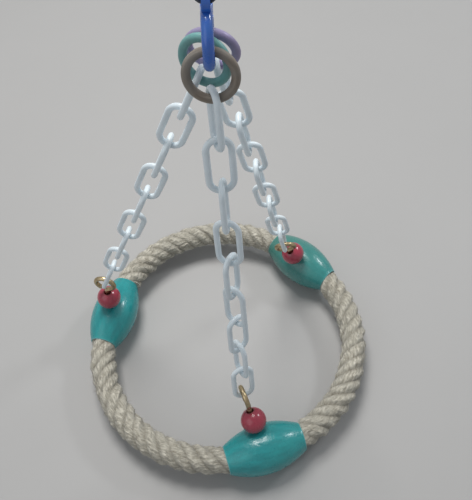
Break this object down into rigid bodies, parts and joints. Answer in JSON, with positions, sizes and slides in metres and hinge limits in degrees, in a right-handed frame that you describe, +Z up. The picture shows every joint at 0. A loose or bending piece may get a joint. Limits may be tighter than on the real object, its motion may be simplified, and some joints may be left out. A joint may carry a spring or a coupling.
{
  "type": "hanging bird toy",
  "caption": "Pyramid-shaped hanging bird toy: a ring of laid rope with painted barrel beads, carried by plastic chains from screw eyes to small rings on a sprung clasp.",
  "frame": {"origin": "the point inside the top of the wire ring where the toy hangs", "axes": "+Z up along the hanging line, the clasp lies in the YZ plane, the picture looks along +Y and down, +X to its right"},
  "size_m": [0.1324, 0.1324, 0.1946],
  "materials": {
    "dark_steel": "dark plated wire",
    "blue_enamel": "glossy blue enamel",
    "white_plastic": "semi-gloss white",
    "brass": "dull brass",
    "red_paint": "glossy red paint on wood",
    "teal_paint": "glossy teal paint on wood",
    "rope": "laid natural fibre",
    "natural_wood": "satin, unpainted",
    "pale_teal_plastic": "semi-gloss",
    "lilac_plastic": "semi-gloss"
  },
  "bodies": {
    "hanger": {"wire_ring": "dark_steel"},
    "clasp": {"clasp_body": "blue_enamel", "gate_pin": "dark_steel", "gate_spring": "dark_steel"},
    "gate": {"clasp_gate": "blue_enamel"},
    "pyramid": {"rope_ring": "rope", "barrel_bead_front": "teal_paint", "barrel_bead_left": "teal_paint", "barrel_bead_right": "teal_paint", "screw_eye_front": "brass", "screw_eye_left": "brass", "screw_eye_right": "brass"},
    "natural_ring": {"natural_ring": "natural_wood"},
    "red_bead_front": {"red_bead_front": "red_paint"},
    "link_front_1": {"link_front_1": "white_plastic"},
    "link_front_2": {"link_front_2": "white_plastic"},
    "link_front_3": {"link_front_3": "white_plastic"},
    "link_front_4": {"link_front_4": "white_plastic"},
    "link_front_5": {"link_front_5": "white_plastic"},
    "link_front_6": {"link_front_6": "white_plastic"},
    "link_front_7": {"link_front_7": "white_plastic"},
    "link_front_8": {"link_front_8": "white_plastic"},
    "link_front_9": {"link_front_9": "white_plastic"},
    "teal_ring": {"teal_ring": "pale_teal_plastic"},
    "red_bead_left": {"red_bead_left": "red_paint"},
    "link_left_1": {"link_left_1": "white_plastic"},
    "link_left_2": {"link_left_2": "white_plastic"},
    "link_left_3": {"link_left_3": "white_plastic"},
    "link_left_4": {"link_left_4": "white_plastic"},
    "link_left_5": {"link_left_5": "white_plastic"},
    "link_left_6": {"link_left_6": "white_plastic"},
    "link_left_7": {"link_left_7": "white_plastic"},
    "link_left_8": {"link_left_8": "white_plastic"},
    "link_left_9": {"link_left_9": "white_plastic"},
    "lilac_ring": {"lilac_ring": "lilac_plastic"},
    "red_bead_right": {"red_bead_right": "red_paint"},
    "link_right_1": {"link_right_1": "white_plastic"},
    "link_right_2": {"link_right_2": "white_plastic"},
    "link_right_3": {"link_right_3": "white_plastic"},
    "link_right_4": {"link_right_4": "white_plastic"},
    "link_right_5": {"link_right_5": "white_plastic"},
    "link_right_6": {"link_right_6": "white_plastic"},
    "link_right_7": {"link_right_7": "white_plastic"},
    "link_right_8": {"link_right_8": "white_plastic"},
    "link_right_9": {"link_right_9": "white_plastic"}
  },
  "joints": [
    {"name": "clasp_swing", "type": "hinge", "parent": "hanger", "child": "clasp", "pos_m": [0, 0, -0.0046], "axis": [1, 0, 0], "range_deg": [-60, 60]},
    {"name": "gate_open", "type": "hinge", "parent": "clasp", "child": "gate", "pos_m": [0, 0.00381, -0.00849], "axis": [-1, 0, 0], "range_deg": [0, 35], "stiffness_Nm_per_rad": 0.004, "springref_deg": -20.05},
    {"name": "pyramid_swing", "type": "hinge", "parent": "clasp", "child": "pyramid", "pos_m": [0, 0, -0.0186], "axis": [0, 1, 0], "range_deg": [-25, 25]},
    {"name": "natural_ring_turn", "type": "hinge", "parent": "pyramid", "child": "natural_ring", "pos_m": [0.00013, -0.0054, -0.02185], "axis": [0.1526, 0.9612, -0.2299], "continuous": true},
    {"name": "red_bead_front_spin", "type": "hinge", "parent": "pyramid", "child": "red_bead_front", "pos_m": [0.00892, -0.04582, -0.16961], "axis": [-0.2687, 0.532, 0.803], "continuous": true},
    {"name": "link_front_1_twist", "type": "hinge", "parent": "pyramid", "child": "link_front_1", "pos_m": [0.00061, -0.0084, -0.03408], "axis": [-0.0385, 0.2382, 0.9704], "range_deg": [-8, 8]},
    {"name": "link_front_2_twist", "type": "hinge", "parent": "pyramid", "child": "link_front_2", "pos_m": [0.00119, -0.01195, -0.04852], "axis": [-0.0385, 0.2382, 0.9704], "range_deg": [-8, 8]},
    {"name": "link_front_3_twist", "type": "hinge", "parent": "pyramid", "child": "link_front_3", "pos_m": [0.00176, -0.01549, -0.06296], "axis": [-0.0385, 0.2382, 0.9704], "range_deg": [-8, 8]},
    {"name": "link_front_4_twist", "type": "hinge", "parent": "pyramid", "child": "link_front_4", "pos_m": [0.00233, -0.01903, -0.0774], "axis": [-0.0385, 0.2382, 0.9704], "range_deg": [-8, 8]},
    {"name": "link_front_5_twist", "type": "hinge", "parent": "pyramid", "child": "link_front_5", "pos_m": [0.0029, -0.02258, -0.09184], "axis": [-0.0385, 0.2382, 0.9704], "range_deg": [-8, 8]},
    {"name": "link_front_6_twist", "type": "hinge", "parent": "pyramid", "child": "link_front_6", "pos_m": [0.00348, -0.02612, -0.10628], "axis": [-0.0385, 0.2382, 0.9704], "range_deg": [-8, 8]},
    {"name": "link_front_7_twist", "type": "hinge", "parent": "pyramid", "child": "link_front_7", "pos_m": [0.00405, -0.02967, -0.12073], "axis": [-0.0385, 0.2382, 0.9704], "range_deg": [-8, 8]},
    {"name": "link_front_8_twist", "type": "hinge", "parent": "pyramid", "child": "link_front_8", "pos_m": [0.00462, -0.03322, -0.13517], "axis": [-0.0385, 0.2382, 0.9704], "range_deg": [-8, 8]},
    {"name": "link_front_9_twist", "type": "hinge", "parent": "pyramid", "child": "link_front_9", "pos_m": [0.00519, -0.03676, -0.14961], "axis": [-0.0385, 0.2382, 0.9704], "range_deg": [-8, 8]},
    {"name": "teal_ring_turn", "type": "hinge", "parent": "pyramid", "child": "teal_ring", "pos_m": [-0.00126, 0.00035, -0.02168], "axis": [-0.439, -0.895, 0.0788], "continuous": true},
    {"name": "red_bead_left_spin", "type": "hinge", "parent": "pyramid", "child": "red_bead_left", "pos_m": [-0.05602, 0.01541, -0.1664], "axis": [0.0506, -0.0135, 0.9986], "continuous": true},
    {"name": "link_left_1_twist", "type": "hinge", "parent": "pyramid", "child": "link_left_1", "pos_m": [-0.00601, 0.00165, -0.03328], "axis": [0.3766, -0.1036, 0.9206], "range_deg": [-12, 12]},
    {"name": "link_left_2_twist", "type": "hinge", "parent": "pyramid", "child": "link_left_2", "pos_m": [-0.01169, 0.00322, -0.04718], "axis": [0.3766, -0.1036, 0.9206], "range_deg": [-12, 12]},
    {"name": "link_left_3_twist", "type": "hinge", "parent": "pyramid", "child": "link_left_3", "pos_m": [-0.01738, 0.00478, -0.06109], "axis": [0.3766, -0.1036, 0.9206], "range_deg": [-12, 12]},
    {"name": "link_left_4_twist", "type": "hinge", "parent": "pyramid", "child": "link_left_4", "pos_m": [-0.02306, 0.00635, -0.07499], "axis": [0.3766, -0.1036, 0.9206], "range_deg": [-12, 12]},
    {"name": "link_left_5_twist", "type": "hinge", "parent": "pyramid", "child": "link_left_5", "pos_m": [-0.02875, 0.00791, -0.08889], "axis": [0.3766, -0.1036, 0.9206], "range_deg": [-12, 12]},
    {"name": "link_left_6_twist", "type": "hinge", "parent": "pyramid", "child": "link_left_6", "pos_m": [-0.03444, 0.00948, -0.10279], "axis": [0.3766, -0.1036, 0.9206], "range_deg": [-12, 12]},
    {"name": "link_left_7_twist", "type": "hinge", "parent": "pyramid", "child": "link_left_7", "pos_m": [-0.04012, 0.01104, -0.11669], "axis": [0.3766, -0.1036, 0.9206], "range_deg": [-12, 12]},
    {"name": "link_left_8_twist", "type": "hinge", "parent": "pyramid", "child": "link_left_8", "pos_m": [-0.04581, 0.0126, -0.13059], "axis": [0.3766, -0.1036, 0.9206], "range_deg": [-12, 12]},
    {"name": "link_left_9_twist", "type": "hinge", "parent": "pyramid", "child": "link_left_9", "pos_m": [-0.05149, 0.01417, -0.14449], "axis": [0.3766, -0.1036, 0.9206], "range_deg": [-12, 12]},
    {"name": "lilac_ring_turn", "type": "hinge", "parent": "pyramid", "child": "lilac_ring", "pos_m": [0.00067, 0.00526, -0.02182], "axis": [0.2478, 0.9375, 0.2445], "continuous": true},
    {"name": "red_bead_right_spin", "type": "hinge", "parent": "pyramid", "child": "red_bead_right", "pos_m": [0.03315, 0.03667, -0.16819], "axis": [-0.3576, -0.2836, 0.8898], "continuous": true},
    {"name": "link_right_1_twist", "type": "hinge", "parent": "pyramid", "child": "link_right_1", "pos_m": [0.00317, 0.00775, -0.03391], "axis": [-0.199, -0.1978, 0.9598], "range_deg": [-12, 12]},
    {"name": "link_right_2_twist", "type": "hinge", "parent": "pyramid", "child": "link_right_2", "pos_m": [0.00611, 0.01067, -0.04807], "axis": [-0.199, -0.1978, 0.9598], "range_deg": [-12, 12]},
    {"name": "link_right_3_twist", "type": "hinge", "parent": "pyramid", "child": "link_right_3", "pos_m": [0.00904, 0.01359, -0.06224], "axis": [-0.199, -0.1978, 0.9598], "range_deg": [-12, 12]},
    {"name": "link_right_4_twist", "type": "hinge", "parent": "pyramid", "child": "link_right_4", "pos_m": [0.01198, 0.01651, -0.0764], "axis": [-0.199, -0.1978, 0.9598], "range_deg": [-12, 12]},
    {"name": "link_right_5_twist", "type": "hinge", "parent": "pyramid", "child": "link_right_5", "pos_m": [0.01492, 0.01943, -0.09056], "axis": [-0.199, -0.1978, 0.9598], "range_deg": [-12, 12]},
    {"name": "link_right_6_twist", "type": "hinge", "parent": "pyramid", "child": "link_right_6", "pos_m": [0.01785, 0.02235, -0.10473], "axis": [-0.199, -0.1978, 0.9598], "range_deg": [-12, 12]},
    {"name": "link_right_7_twist", "type": "hinge", "parent": "pyramid", "child": "link_right_7", "pos_m": [0.02079, 0.02527, -0.11889], "axis": [-0.199, -0.1978, 0.9598], "range_deg": [-12, 12]},
    {"name": "link_right_8_twist", "type": "hinge", "parent": "pyramid", "child": "link_right_8", "pos_m": [0.02372, 0.02819, -0.13305], "axis": [-0.199, -0.1978, 0.9598], "range_deg": [-12, 12]},
    {"name": "link_right_9_twist", "type": "hinge", "parent": "pyramid", "child": "link_right_9", "pos_m": [0.02666, 0.0311, -0.14722], "axis": [-0.199, -0.1978, 0.9598], "range_deg": [-9, 9]}
  ]
}
